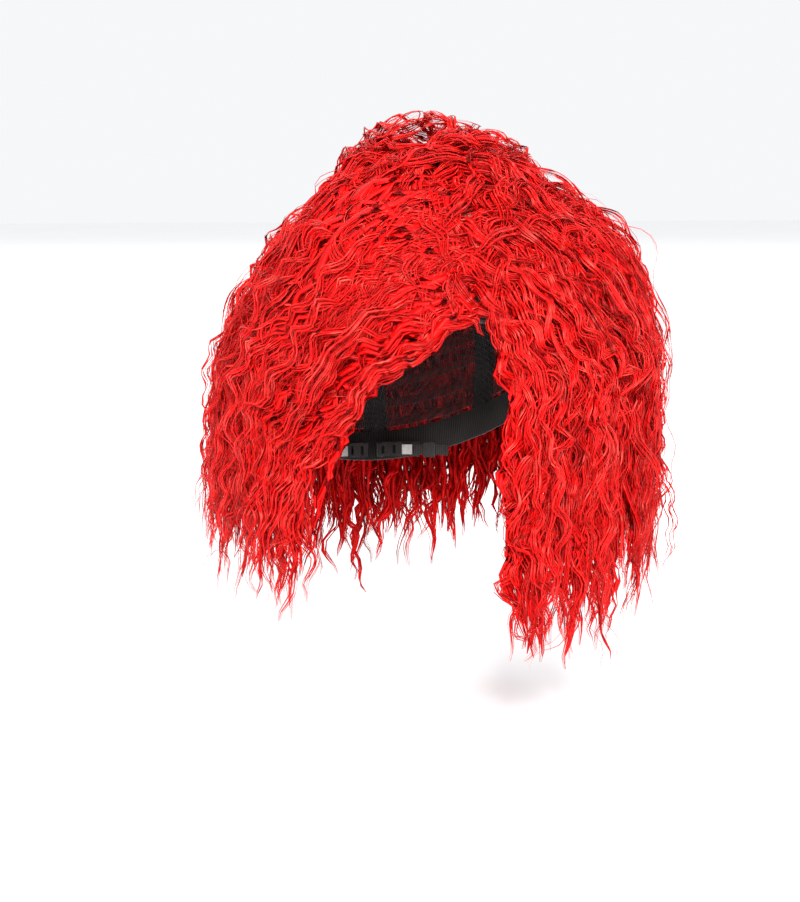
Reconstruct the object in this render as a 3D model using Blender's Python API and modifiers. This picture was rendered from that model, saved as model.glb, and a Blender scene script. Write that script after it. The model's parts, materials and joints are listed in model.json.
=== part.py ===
"""Costume wig: a stretch-net cap sewn with rows of crimped hair, built as separate pieces.

The cap is an ellipsoid dome cut off by a tilted rim plane.  Everything sewn to the cap is a slice
of the same dome in a layer further out or in.  The hair is a bell round it: a larger dome whose
lower part is a set of hanging curtains.  +Z is up, the face opening looks along -Y, so the
wearer's left is +X.  The origin is the middle of the head at hat-band level.
"""

import math

import bmesh
import bpy
from mathutils import Vector

MM = 0.001

# ---- the head that the cap fits --------------------------------------------------------------
HEAD_WIDTH = 156 * MM
HEAD_LENGTH = 196 * MM
CROWN_HEIGHT = 115 * MM
RIM_FRONT_Z = 33 * MM
RIM_BACK_Z = -62 * MM
RIM_FRONT_SHARE = 0.48
RIM_BACK_SHARE = 0.44

# ---- cap materials, thickness by layer ---------------------------------------------------------
SEWN_GAP = 0.4 * MM
NET_THICKNESS = 0.6 * MM
BAND_THICKNESS = 1.2 * MM
BAND_WIDTH = 18 * MM
TAPE_THICKNESS = 0.6 * MM
TAPE_WIDTH = 14 * MM
WEFT_THICKNESS = 1.4 * MM
WEFT_WIDTH = 5 * MM
WEFT_ROWS = 9
TOP_ROW_DROP = 21.18 * MM
PARTING_X = 5 * MM
PARTING_WIDTH = 24 * MM
CROWN_Y = 12 * MM
PATCH_HALF = 20 * MM
STRINGERS = {"temple": -38, "side_seam": 0, "back_side": 38}
STRINGER_START_SHARE = 0.2308
LABEL_SIZE = (26 * MM, 15 * MM)
LABEL_THICKNESS = 0.5 * MM

# ---- ear tabs ----------------------------------------------------------------------------------
EAR_TAB_Y = -32 * MM
EAR_TAB_WIDTH = 30 * MM
EAR_TAB_LENGTH = 30 * MM
EAR_TAB_GAP = 1.0 * MM
STAY_WIDTH = 5 * MM
STAY_LENGTH = 24 * MM
STAY_THICKNESS = 0.8 * MM

# ---- adjusting straps inside the nape ------------------------------------------------------------
STRAP_Z = -54 * MM
STRAP_WIDTH = 6 * MM
STRAP_THICKNESS = 0.8 * MM
STRAP_EASE = 1.45 * MM
STRAP_WALL_GAP = 2.2 * MM
STRAP_SPAN = (26.0, 50.0)
HOOK_SPAN = (19.0, 25.6)
HOOK_THICKNESS = 1.6 * MM
HOOK_TAPE_SPAN = (3.0, 30.0)
HOOK_TAPE_WIDTH = 9 * MM
HOOK_SLOT_ANGLES = (7.0, 14.0, 21.0)
HOOK_SLOT_SIZE = (2.0, 5.0 * MM)
KEEPER_SPAN = (33.0, 41.0)
KEEPER_WIDTH = 9 * MM

# ---- the hair ------------------------------------------------------------------------------------
HAIR_CLEAR_SIDE = 30.5 * MM
HAIR_CLEAR_BACK = 10.5 * MM
HAIR_CLEAR_TOP = 9.5 * MM
HAIR_CENTRE = (10 * MM, 14 * MM)
HAIR_LAYER = 14 * MM
UNDER_LAYER = 9 * MM
LAYER_GAP = 2.5 * MM
LOCK_CLEARANCE = 0.2 * MM
EDGE_LEAN = 0.1
SWING_LEVEL = 2 * MM
SWING_GAP = 20 * MM
UNDER_TOP = 82 * MM
HEM_TAPER = 4 * MM
HEM_LEFT = -165 * MM
HEM_RIGHT = -138 * MM
HEM_BACK = -158 * MM
UNDER_HEM_RISE = 22 * MM
BACK_HALF_ANGLE = 55.0
FRONT_EDGE_LEFT = 6.0
FRONT_EDGE_RIGHT = 44.0
FRONT_EDGE_UNDER = 48.0
FORELOCK_EDGE = 9.0
FORELOCK_LENGTH = 64 * MM
NAPE_HAIR_TOP = -66 * MM
NAPE_HAIR_STAND_OFF = -6 * MM

# ---- fineness of the faceted surfaces ---------------------------------------------------------------
CAP_SEGMENTS, CAP_RINGS = 32, 18
HAIR_SEGMENTS, HAIR_RINGS = 28, 14
ARC_SEGMENTS = 120

HEAD_RADII = (HEAD_WIDTH / 2, HEAD_LENGTH / 2, CROWN_HEIGHT)
HAIR_DEPTH = HAIR_LAYER + LAYER_GAP + UNDER_LAYER
HAIR_RADII = (
    HEAD_RADII[0] + HAIR_CLEAR_SIDE + HAIR_DEPTH,
    HEAD_RADII[1] + HAIR_CLEAR_BACK + HAIR_DEPTH,
    HEAD_RADII[2] + HAIR_CLEAR_TOP + HAIR_DEPTH,
)
SIDES = {"left": 1, "right": -1}


def clear_scene():
    for old in list(bpy.data.objects):
        bpy.data.objects.remove(old, do_unlink=True)


def make_material(name, color, roughness, metallic=0.0):
    material = bpy.data.materials.new(name)
    material.use_nodes = True
    shader = material.node_tree.nodes["Principled BSDF"]
    shader.inputs["Base Color"].default_value = (*color, 1.0)
    shader.inputs["Roughness"].default_value = roughness
    shader.inputs["Metallic"].default_value = metallic
    return material


def make_part(name, bm, material, thickness, direction):
    """A named object from an open surface, given its thickness outwards (+1) or inwards (-1)."""
    mesh = bpy.data.meshes.new(name)
    bm.to_mesh(mesh)
    bm.free()
    mesh.materials.append(material)
    mesh.shade_smooth()
    mesh.set_sharp_from_angle(angle=math.radians(40))
    part = bpy.data.objects.new(name, mesh)
    wig.objects.link(part)
    shell = part.modifiers.new("Thickness", "SOLIDIFY")
    shell.thickness = thickness
    shell.offset = direction
    return part


def keep_side(bm, point, normal):
    """Cuts the surface at a plane and keeps the part that the normal points to."""
    everything = bm.verts[:] + bm.edges[:] + bm.faces[:]
    bmesh.ops.bisect_plane(bm, geom=everything, plane_co=point, plane_no=normal, clear_inner=True)


def score(bm, point, normal):
    """Cuts an edge into the surface at a plane and keeps both sides."""
    everything = bm.verts[:] + bm.edges[:] + bm.faces[:]
    bmesh.ops.bisect_plane(bm, geom=everything, plane_co=point, plane_no=normal)


def remove_faces(bm, is_inside):
    gone = [face for face in bm.faces if is_inside(face.calc_center_median())]
    bmesh.ops.delete(bm, geom=gone, context="FACES")


def dome(radii, centre, segments, rings):
    bm = bmesh.new()
    bmesh.ops.create_uvsphere(bm, u_segments=segments, v_segments=rings, radius=1.0)
    bmesh.ops.scale(bm, vec=radii, verts=bm.verts)
    bmesh.ops.translate(bm, vec=(*centre, 0.0), verts=bm.verts)
    return bm


# ---- the cap: slices of the head's dome --------------------------------------------------------------
RIM_RUN = HEAD_LENGTH * (RIM_FRONT_SHARE + RIM_BACK_SHARE)
RIM_NORMAL = Vector((0.0, RIM_FRONT_Z - RIM_BACK_Z, RIM_RUN)).normalized()
RIM_POINT = Vector((0.0, -HEAD_LENGTH * RIM_FRONT_SHARE, RIM_FRONT_Z))
DOME_TOP = math.hypot(*(r * n for r, n in zip(HEAD_RADII, RIM_NORMAL)))
DOME_OVER_RIM = DOME_TOP - RIM_POINT.dot(RIM_NORMAL)


def above_rim(height):
    """The plane parallel to the rim, that far above it, as a cut that keeps what is over it."""
    return RIM_POINT + RIM_NORMAL * height, RIM_NORMAL


def below_rim(height):
    return RIM_POINT + RIM_NORMAL * height, -RIM_NORMAL


def between_x(low, high):
    return [((low, 0, 0), (1, 0, 0)), ((high, 0, 0), (-1, 0, 0))]


def between_y(low, high):
    return [((0, low, 0), (0, 1, 0)), ((0, high, 0), (0, -1, 0))]


def behind(y):
    return ((0, y, 0), (0, 1, 0))


def in_front_of(y):
    return ((0, y, 0), (0, -1, 0))


def cap_slice(name, offset, thickness, material, cuts, notch=None, direction=1):
    bm = dome([r + offset for r in HEAD_RADII], (0, 0), CAP_SEGMENTS, CAP_RINGS)
    for point, normal in cuts:
        keep_side(bm, point, normal)
    if notch:
        notch(bm)
    return make_part(name, bm, material, thickness, direction)


def parting_notch(bm):
    """Opens a row of hair at the front, where the parting strip shows."""
    half = PARTING_WIDTH / 2
    for x in (PARTING_X - half, PARTING_X + half):
        score(bm, (x, 0, 0), (1, 0, 0))
    remove_faces(bm, lambda middle: abs(middle.x - PARTING_X) < half and middle.y < 0)


TAPE_OFFSET = NET_THICKNESS + SEWN_GAP
WEFT_OFFSET = TAPE_OFFSET + TAPE_THICKNESS + SEWN_GAP
WEFT_FIRST = BAND_WIDTH / 2
WEFT_PITCH = (DOME_OVER_RIM - TOP_ROW_DROP - WEFT_FIRST) / (WEFT_ROWS - 1)
PATCH_FRONT = CROWN_Y - PATCH_HALF
PATCH_BACK = CROWN_Y + PATCH_HALF
STRINGER_START = HEAD_WIDTH * STRINGER_START_SHARE


def make_cap():
    """Four net panels, sewn at the parting's plane and from ear to ear, on a band in two halves."""
    half_gap = SEWN_GAP / 2
    net_bottom = above_rim(BAND_WIDTH + SEWN_GAP)
    halves = {"front": in_front_of(CROWN_Y - half_gap), "back": behind(CROWN_Y + half_gap)}
    for side, sign in SIDES.items():
        beside = ((PARTING_X + sign * half_gap, 0, 0), (sign, 0, 0))
        for place, cut in halves.items():
            name = f"net_panel_{place}_{side}"
            cap_slice(name, 0, NET_THICKNESS, net_black, [net_bottom, beside, cut])
    band = [above_rim(0), below_rim(BAND_WIDTH)]
    cap_slice("front_band", 0, BAND_THICKNESS, satin, [*band, in_front_of(-half_gap)])
    cap_slice("nape_band", 0, BAND_THICKNESS, elastic, [*band, behind(half_gap)])


def make_tapes():
    """The tapes that stiffen the net: parting strip, crown patch and the stringers to the rim."""
    bottom = above_rim(BAND_WIDTH + SEWN_GAP)
    half = PARTING_WIDTH / 2
    strip = between_x(PARTING_X - half, PARTING_X + half)
    strip += [bottom, in_front_of(PATCH_FRONT - SEWN_GAP)]
    cap_slice("parting_strip", TAPE_OFFSET, TAPE_THICKNESS, skin_mesh, strip)
    patch = between_x(PARTING_X - PATCH_HALF, PARTING_X + PATCH_HALF)
    patch += between_y(PATCH_FRONT, PATCH_BACK)
    patch.append(((0, 0, 0), (0, 0, 1)))
    cap_slice("crown_patch", TAPE_OFFSET, TAPE_THICKNESS, felt, patch)
    centre = between_x(PARTING_X - TAPE_WIDTH / 2, PARTING_X + TAPE_WIDTH / 2)
    centre += [bottom, behind(PATCH_BACK + SEWN_GAP)]
    cap_slice("centre_back_tape", TAPE_OFFSET, TAPE_THICKNESS, tape_cloth, centre)
    for side, sign in SIDES.items():
        for place, turn in STRINGERS.items():
            angle = math.radians(turn)
            across = Vector((-math.sin(angle) * sign, math.cos(angle), 0))
            outward = Vector((math.cos(angle) * sign, math.sin(angle), 0))
            middle = Vector((PARTING_X, CROWN_Y, 0))
            cuts = [bottom, (middle + outward * STRINGER_START, outward)]
            cuts.append((middle - across * TAPE_WIDTH / 2, across))
            cuts.append((middle + across * TAPE_WIDTH / 2, -across))
            cap_slice(f"{place}_tape_{side}", TAPE_OFFSET, TAPE_THICKNESS, tape_cloth, cuts)


def make_wefts():
    """Rows of machine weft, each parallel to the rim and open where the parting runs."""
    for row in range(WEFT_ROWS):
        height = WEFT_FIRST + row * WEFT_PITCH
        cuts = [above_rim(height), below_rim(height + WEFT_WIDTH)]
        name = f"weft_row_{row + 1:02d}"
        cap_slice(name, WEFT_OFFSET, WEFT_THICKNESS, weft_red, cuts, parting_notch)


def make_label():
    width, height = LABEL_SIZE
    cuts = between_x(PARTING_X - width / 2, PARTING_X + width / 2)
    cuts += [behind(0), ((0, 0, -height / 2), (0, 0, 1)), ((0, 0, height / 2), (0, 0, -1))]
    inside = -SEWN_GAP - LABEL_THICKNESS
    cap_slice("blank_label", inside, LABEL_THICKNESS, label_cloth, cuts)


def make_ear_tabs():
    for side, sign in SIDES.items():
        own_side = ((0, 0, 0), (sign, 0, 0))
        low = -EAR_TAB_GAP - EAR_TAB_LENGTH
        half = EAR_TAB_WIDTH / 2
        cuts = [own_side, below_rim(-EAR_TAB_GAP), above_rim(low)]
        cuts += between_y(EAR_TAB_Y - half, EAR_TAB_Y + half)
        cap_slice(f"ear_tab_{side}", 0, BAND_THICKNESS, satin, cuts)
        middle = -EAR_TAB_GAP - EAR_TAB_LENGTH / 2
        cuts = [own_side, below_rim(middle + STAY_LENGTH / 2), above_rim(middle - STAY_LENGTH / 2)]
        cuts += between_y(EAR_TAB_Y - STAY_WIDTH / 2, EAR_TAB_Y + STAY_WIDTH / 2)
        outside = BAND_THICKNESS + SEWN_GAP
        cap_slice(f"ear_tab_stay_{side}", outside, STAY_THICKNESS, clear_plastic, cuts)


# ---- the adjusting straps: strips of a cylinder that fits the nape --------------------------------------
# The inside of the cap is an ellipse there, and its sharpest curve, at the back, sets their radius.
NAPE_SHARE = math.sqrt(1 - ((STRAP_Z - HOOK_TAPE_WIDTH / 2) / CROWN_HEIGHT) ** 2)
STRAP_RADIUS = NAPE_SHARE * HEAD_RADII[0] ** 2 / HEAD_RADII[1] + STRAP_EASE
STRAP_PIVOT_Y = NAPE_SHARE * HEAD_RADII[1] - STRAP_WALL_GAP - STRAP_RADIUS


def arc_strip(name, radius, thickness, width, span, side, material, slots=()):
    """A strip of a cylinder round the strap's pivot; angles run from the centre back outwards."""
    sign = SIDES[side]
    bm = bmesh.new()
    bmesh.ops.create_cone(
        bm, segments=ARC_SEGMENTS, radius1=radius, radius2=radius, depth=width, cap_ends=False
    )
    bmesh.ops.translate(bm, vec=(0, STRAP_PIVOT_Y, STRAP_Z), verts=bm.verts)
    pivot = Vector((0, STRAP_PIVOT_Y, 0))

    def away_from_centre(degrees):
        angle = math.radians(degrees)
        return Vector((sign * math.cos(angle), -math.sin(angle), 0))

    keep_side(bm, pivot, (sign, 0, 0))
    keep_side(bm, pivot, away_from_centre(span[0]))
    keep_side(bm, pivot, -away_from_centre(span[1]))
    if slots:
        half_angle, half_height = HOOK_SLOT_SIZE[0] / 2, HOOK_SLOT_SIZE[1] / 2
        for z in (STRAP_Z - half_height, STRAP_Z + half_height):
            score(bm, (0, 0, z), (0, 0, 1))
        for slot in slots:
            score(bm, pivot, away_from_centre(slot - half_angle))
            score(bm, pivot, away_from_centre(slot + half_angle))

        def in_a_slot(middle):
            angle = math.degrees(math.atan2(sign * middle.x, middle.y - STRAP_PIVOT_Y))
            level = abs(middle.z - STRAP_Z) < half_height
            return level and any(abs(angle - slot) < half_angle for slot in slots)

        remove_faces(bm, in_a_slot)
    return make_part(name, bm, material, thickness, -1)


def make_straps():
    for side in SIDES:
        tape_radius = STRAP_RADIUS + SEWN_GAP + TAPE_THICKNESS
        keeper_radius = STRAP_RADIUS - STRAP_THICKNESS - SEWN_GAP
        arc_strip(
            f"hook_tape_{side}", tape_radius, TAPE_THICKNESS, HOOK_TAPE_WIDTH, HOOK_TAPE_SPAN,
            side, tape_cloth, HOOK_SLOT_ANGLES,
        )
        arc_strip(
            f"adjusting_strap_{side}", STRAP_RADIUS, STRAP_THICKNESS, STRAP_WIDTH, STRAP_SPAN,
            side, elastic,
        )
        arc_strip(
            f"strap_hook_{side}", STRAP_RADIUS, HOOK_THICKNESS, STRAP_WIDTH, HOOK_SPAN,
            side, clear_plastic,
        )
        arc_strip(
            f"strap_keeper_{side}", keeper_radius, TAPE_THICKNESS, KEEPER_WIDTH, KEEPER_SPAN,
            side, tape_cloth,
        )


# ---- the hair: a bell of soft solids round the cap --------------------------------------------------------
AXIS_POINT = Vector((*HAIR_CENTRE, 0))
# A thick shell's cut edges lean by this share of its thickness, so the gap grows with the layer.
LOCK_GAP = LOCK_CLEARANCE + 2 * EDGE_LEAN * HAIR_LAYER
HALF_LOCK_GAP = LOCK_GAP / 2


def sector(start, end):
    """Two cuts that keep the hair between two angles, counted from the front to the wearer's left."""
    cuts = []
    for degrees, way in ((start, 1), (end, -1)):
        angle = math.radians(degrees)
        normal = Vector((math.cos(angle), math.sin(angle), 0)) * way
        cuts.append((AXIS_POINT + normal * HALF_LOCK_GAP, normal))
    return cuts


SECTORS = {
    "left": sector(0, 180 - BACK_HALF_ANGLE),
    "right": sector(180 + BACK_HALF_ANGLE, 360),
    "back": sector(180 - BACK_HALF_ANGLE, 180 + BACK_HALF_ANGLE),
}


def inset(depth):
    """The hair's three radii, that far inside the outermost hair."""
    return [radius - depth for radius in HAIR_RADII]


def hair_dome(name, depth, thickness, low, high, cuts):
    """Hair lying on the cap: part of a dome, that far inside the outermost hair."""
    bm = dome(inset(depth), HAIR_CENTRE, HAIR_SEGMENTS, HAIR_RINGS)
    keep_side(bm, (0, 0, low), (0, 0, 1))
    keep_side(bm, (0, 0, high), (0, 0, -1))
    for point, normal in cuts:
        keep_side(bm, point, normal)
    return make_part(name, bm, hair_red, thickness, -1)


def hair_curtain(name, radii, thickness, low, high, cuts):
    """Hair hanging below the swing level: part of a nearly straight cone."""
    bm = bmesh.new()
    taper = HEM_TAPER / radii[0]
    bmesh.ops.create_cone(
        bm, segments=HAIR_SEGMENTS, radius1=1 - taper, radius2=1, depth=high - low, cap_ends=False
    )
    bmesh.ops.scale(bm, vec=(radii[0], radii[1], 1), verts=bm.verts)
    bmesh.ops.translate(bm, vec=(*HAIR_CENTRE, (high + low) / 2), verts=bm.verts)
    for point, normal in cuts:
        keep_side(bm, point, normal)
    return make_part(name, bm, hair_red, thickness, -1)


def part_line(side):
    """The top hair is combed apart at the parting, and at the face it ends at the hairline."""
    sign = SIDES[side]
    return ((PARTING_X + sign * HALF_LOCK_GAP, 0, 0), (sign, 0, 0))


def make_hair():
    top_low = SWING_LEVEL + SWING_GAP
    under = HAIR_LAYER + LAYER_GAP
    for side, cuts in SECTORS.items():
        comb = [part_line(side)] if side in SIDES else []
        hair_dome(f"hair_top_{side}", 0, HAIR_LAYER, top_low, HAIR_RADII[2], [*cuts, *comb])
    clear_of_face = {
        "left": sector(FRONT_EDGE_UNDER, 180 - BACK_HALF_ANGLE),
        "right": sector(180 + BACK_HALF_ANGLE, 360 - FRONT_EDGE_UNDER),
        "back": SECTORS["back"],
    }
    curtains = {
        "left": sector(FRONT_EDGE_LEFT, 180 - BACK_HALF_ANGLE),
        "right": sector(180 + BACK_HALF_ANGLE, 360 - FRONT_EDGE_RIGHT),
        "back": SECTORS["back"],
    }
    hems = {"left": HEM_LEFT, "right": HEM_RIGHT, "back": HEM_BACK}
    for side, cuts in clear_of_face.items():
        hair_dome(f"hair_under_{side}", under, UNDER_LAYER, top_low, UNDER_TOP, cuts)
        inner_hem = hems[side] + UNDER_HEM_RISE
        name = f"curtain_under_{side}"
        hair_curtain(name, inset(under), UNDER_LAYER, inner_hem, SWING_LEVEL, cuts)
    for side, cuts in curtains.items():
        hair_curtain(f"curtain_{side}", HAIR_RADII, HAIR_LAYER, hems[side], SWING_LEVEL, cuts)
    make_forelock()
    nape_radius = HEAD_RADII[1] + NAPE_HAIR_STAND_OFF
    nape_hem = HEM_BACK + 2 * UNDER_HEM_RISE
    radii = (nape_radius, nape_radius)
    hair_curtain("nape_hair", radii, UNDER_LAYER, nape_hem, NAPE_HAIR_TOP, SECTORS["back"])


def make_forelock():
    """The lock that slants across the wearer's right temple, from the parting to the cheek."""
    low = SWING_LEVEL - FORELOCK_LENGTH
    cuts = sector(360 - FRONT_EDGE_RIGHT, 360 - FORELOCK_EDGE)
    start = AXIS_POINT - Vector((math.sin(math.radians(FORELOCK_EDGE)), 0, 0)) * HAIR_RADII[0]
    end = AXIS_POINT - Vector((math.sin(math.radians(FRONT_EDGE_RIGHT)), 0, 0)) * HAIR_RADII[0]
    start.z, end.z = SWING_LEVEL, low
    slope = (end - start).normalized()
    cuts.append((start, Vector((slope.z, 0, -slope.x))))
    hair_curtain("forelock_right", HAIR_RADII, HAIR_LAYER, low, SWING_LEVEL, cuts)


clear_scene()
wig = bpy.data.collections.new("costume_wig")
bpy.context.scene.collection.children.link(wig)

hair_red = make_material("hair_red", (0.72, 0.03, 0.02), 0.45)
weft_red = make_material("weft_red", (0.30, 0.01, 0.01), 0.8)
net_black = make_material("net_black", (0.02, 0.02, 0.02), 0.85)
satin = make_material("satin", (0.05, 0.03, 0.03), 0.4)
elastic = make_material("elastic", (0.03, 0.03, 0.03), 0.7)
tape_cloth = make_material("tape_cloth", (0.04, 0.03, 0.03), 0.8)
skin_mesh = make_material("skin_mesh", (0.60, 0.42, 0.33), 0.6)
felt = make_material("felt", (0.10, 0.01, 0.01), 0.9)
label_cloth = make_material("label_cloth", (0.80, 0.80, 0.78), 0.6)
clear_plastic = make_material("clear_plastic", (0.75, 0.75, 0.75), 0.25)

make_cap()
make_tapes()
make_wefts()
make_label()
make_ear_tabs()
make_straps()
make_hair()
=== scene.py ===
# %% [markdown]
# # A costume wig in crimped fibre
# A costume wig is a stretch cap with rows of machine weft sewn to it, and each row carries a
# curtain of synthetic fibre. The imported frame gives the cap, its tapes and plain solids for the
# hair. This notebook dresses that frame: it combs guide lines over the cap, grows locks along
# them with Geometry Nodes, and gives the cap its net, stitches and cloth.

# %% Load the frame
import json
import math

import bmesh
import bpy
import numpy as np
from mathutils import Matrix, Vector
from mathutils.bvhtree import BVHTree

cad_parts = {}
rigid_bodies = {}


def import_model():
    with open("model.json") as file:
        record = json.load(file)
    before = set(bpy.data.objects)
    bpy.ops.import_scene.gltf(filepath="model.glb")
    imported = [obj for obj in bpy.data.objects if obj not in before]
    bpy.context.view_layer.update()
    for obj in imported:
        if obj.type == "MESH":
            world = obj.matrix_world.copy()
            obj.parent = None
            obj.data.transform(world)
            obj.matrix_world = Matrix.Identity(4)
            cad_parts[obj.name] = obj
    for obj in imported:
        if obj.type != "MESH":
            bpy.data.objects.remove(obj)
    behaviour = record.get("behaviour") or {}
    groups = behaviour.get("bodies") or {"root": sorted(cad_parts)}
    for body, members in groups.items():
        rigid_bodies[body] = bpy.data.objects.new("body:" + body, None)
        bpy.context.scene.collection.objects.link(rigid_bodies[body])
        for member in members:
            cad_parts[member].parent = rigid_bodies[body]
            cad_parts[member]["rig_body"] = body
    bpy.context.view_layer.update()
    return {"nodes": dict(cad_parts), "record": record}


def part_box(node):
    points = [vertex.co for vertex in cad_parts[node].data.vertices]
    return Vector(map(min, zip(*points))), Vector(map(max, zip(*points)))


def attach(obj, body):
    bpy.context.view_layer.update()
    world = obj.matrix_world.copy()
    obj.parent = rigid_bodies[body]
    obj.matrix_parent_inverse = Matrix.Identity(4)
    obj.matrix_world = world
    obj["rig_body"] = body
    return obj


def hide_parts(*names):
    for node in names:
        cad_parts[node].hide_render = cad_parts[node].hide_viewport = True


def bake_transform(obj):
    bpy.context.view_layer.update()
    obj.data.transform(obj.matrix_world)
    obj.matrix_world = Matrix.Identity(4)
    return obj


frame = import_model()
scene = bpy.context.scene

# %% [markdown]
# ## The shape that the hair is combed over
# The outermost hair is a bell: a dome over the crown that turns into hanging curtains. The
# frame's own hair solids say where it is, so its middle, radius and height are read from them.
# A point on the bell has an azimuth, counted from the front towards the wearer's left, and a
# latitude. Below the equator the bell is a straight tube, and a latitude is a length along it.

# %% Read the bell from the frame
MM = 0.001
right_edge, left_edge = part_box("curtain_right")[0].x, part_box("curtain_left")[1].x
BELL_RADIUS = (left_edge - right_edge) / 2
BELL_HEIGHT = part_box("hair_top_back")[1].z
BELL_X = left_edge - BELL_RADIUS
BELL_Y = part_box("curtain_back")[1].y - BELL_RADIUS
print("bell radius %.0f mm, height %.0f mm" % (BELL_RADIUS / MM, BELL_HEIGHT / MM))


LEVELS = [-1.0, -0.45, 0.0, 0.28, 0.45, 0.6, 0.76, 0.95, 1.2, 1.5]
RIGHT_REACH = [-2, -7, -14, -21, -24, -24, -26, -27, -11, 1]
LEFT_REACH = [2, 6, 8, 4, 2, 0, -7, -12, -3, 1]
FRONT_REACH = [0, 0, 0, -2, -5, -8, -10, -9, -3, 1]


def fullness_at(azimuth, latitude):
    """How far the hair stands out past the plain bell: it is fuller on the wearer's left."""
    lean = np.sin(azimuth)
    side = np.where(
        lean > 0, np.interp(latitude, LEVELS, LEFT_REACH), np.interp(latitude, LEVELS, RIGHT_REACH)
    )
    front = np.interp(latitude, LEVELS, FRONT_REACH)
    return (front + (side - front) * np.abs(lean)) * MM


def bell_point(azimuth, latitude, depth):
    """Points of the bell at a depth inside it, from arrays of azimuths and latitudes."""
    depth = depth - fullness_at(azimuth, latitude)
    radius = BELL_RADIUS - depth
    flat = np.cos(np.maximum(latitude, 0.0)) * radius
    up = np.sin(np.maximum(latitude, 0.0)) * (BELL_HEIGHT - depth)
    down = np.minimum(latitude, 0.0) * BELL_RADIUS
    x = BELL_X + flat * np.sin(azimuth)
    y = BELL_Y - flat * np.cos(azimuth)
    return np.stack([x, y, up + down], axis=-1)


def bell_normal(points):
    """The outward direction at points near the bell."""
    span = np.array([BELL_RADIUS, BELL_RADIUS, BELL_HEIGHT])
    away = (points - np.array([BELL_X, BELL_Y, 0.0])) / span**2
    away[..., 2] = np.maximum(away[..., 2], 0.0)
    return away / np.linalg.norm(away, axis=-1, keepdims=True)


# %% [markdown]
# ## Combing guide lines
# A lock is rooted at a weft, rises through the hair above the cap, and then lies on the bell
# and falls to its tip. Rows higher on the cap cover the roots of the rows below, like roof
# shingles. A guide starts at the parting, takes the shortest way round the dome to its own
# place on the equator, and hangs straight down from there. The lock is a stretch of that line.

# %% Keep hair outside the cap
CAP_CLEAR = 5 * MM
NET_PANELS = [n for n in frame["nodes"] if n.startswith("net_panel")]
CAP_HALF = np.max([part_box(n)[1] for n in NET_PANELS], axis=0)
CAP_SIZE = CAP_HALF + CAP_CLEAR
print("cap half sizes, mm:", np.round(CAP_HALF / MM, 1))


def clear_of_cap(points):
    """Moves points that are inside the cap, with room for wefts and tapes, out to its surface."""
    inside = np.linalg.norm(points / CAP_SIZE, axis=-1, keepdims=True)
    return np.where(inside < 1, points / np.maximum(inside, 0.3), points)


# %% Guide lines for one side
GUIDE_POINTS = 30
DENSE = 90


def unit(azimuth, latitude):
    flat = np.cos(latitude)
    return np.stack([flat * np.sin(azimuth), -flat * np.cos(azimuth), np.sin(latitude)], axis=-1)


def comb(part_angle, azimuth, waypoint, arch, tip_z):
    """Dense lines of azimuth and latitude: over the dome from the parting, then straight down."""
    behind = part_angle > math.pi / 2
    start = unit(np.where(behind, math.pi, 0.0), np.where(behind, math.pi - part_angle, part_angle))
    end = unit(azimuth, waypoint)
    between = np.arccos(np.clip((start * end).sum(-1), -1, 1))[:, None, None]
    share = np.linspace(0, 1, DENSE)[None, :, None]
    way = np.sin((1 - share) * between) * start[:, None] + np.sin(share * between) * end[:, None]
    way = way / np.sin(between)
    turned = np.unwrap(np.arctan2(way[..., 0], -way[..., 1]), axis=1)
    risen = np.arcsin(np.clip(way[..., 2], -1, 1))
    risen += arch[:, None] * np.sin(math.pi * share[..., 0]) ** 1.2
    fall = np.linspace(0, 1, DENSE)[None, 1:]
    last = waypoint[:, None] + (tip_z[:, None] / BELL_RADIUS - waypoint[:, None]) * fall
    azimuths = np.concatenate([turned, np.repeat(turned[:, -1:], DENSE - 1, 1)], axis=1)
    return azimuths, np.concatenate([risen, last], axis=1)


def cut_guides(azimuths, latitudes, root, length, depth, root_depth, rng, drift):
    """Cuts each line to its lock, lifts it from its root, and lets it wander a little."""
    line = bell_point(azimuths, latitudes, depth[:, None])
    step = np.linalg.norm(np.diff(line, axis=1), axis=-1)
    run = np.concatenate([np.zeros((len(line), 1)), np.cumsum(step, axis=1)], axis=1)
    begin = root * run[:, -1]
    finish = np.minimum(begin + length, run[:, -1])
    share = np.linspace(0, 1, GUIDE_POINTS)
    guides = np.empty((len(line), GUIDE_POINTS, 3))
    at = begin[:, None] + (finish - begin)[:, None] * share
    for axis in range(3):
        for i in range(len(line)):
            guides[i, :, axis] = np.interp(at[i], run[i], line[i, :, axis])
    away = bell_normal(guides)
    along = np.gradient(guides, axis=1)
    along /= np.linalg.norm(along, axis=-1, keepdims=True)
    side = np.cross(along, away)
    gone = at - begin[:, None]
    wander = np.zeros_like(gone)
    heave = np.zeros_like(gone)
    for wave, size in ((95 * MM, 1.0), (52 * MM, 0.5)):
        phase = rng.uniform(0, 2 * math.pi, (len(line), 2, 1))
        reach = rng.normal(0, drift * size, (len(line), 2, 1))
        turn = 2 * math.pi * gone / wave
        wander += reach[:, 0] * (np.sin(turn + phase[:, 0]) - np.sin(phase[:, 0]))
        heave += 0.6 * reach[:, 1] * (np.sin(turn + phase[:, 1]) - np.sin(phase[:, 1]))
    lift = root_depth[:, None] * np.exp(-((gone / (22 * MM)) ** 1.4))
    guides = guides + side * wander[..., None] + away * (heave - lift)[..., None]
    return clear_of_cap(guides), away


# %% [markdown]
# ## A lock of crimped fibre, with Geometry Nodes
# Each guide becomes one lock: several flat strands that share the lock's crimp, spread apart in
# the middle and gather to a point. The strands could be a particle system, but a node tree keeps
# every size as a named input and gives closed meshes that can be exported. The strand's own UV
# map holds a tone lane and the place across the strand in U, and root to tip in V.

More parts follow.
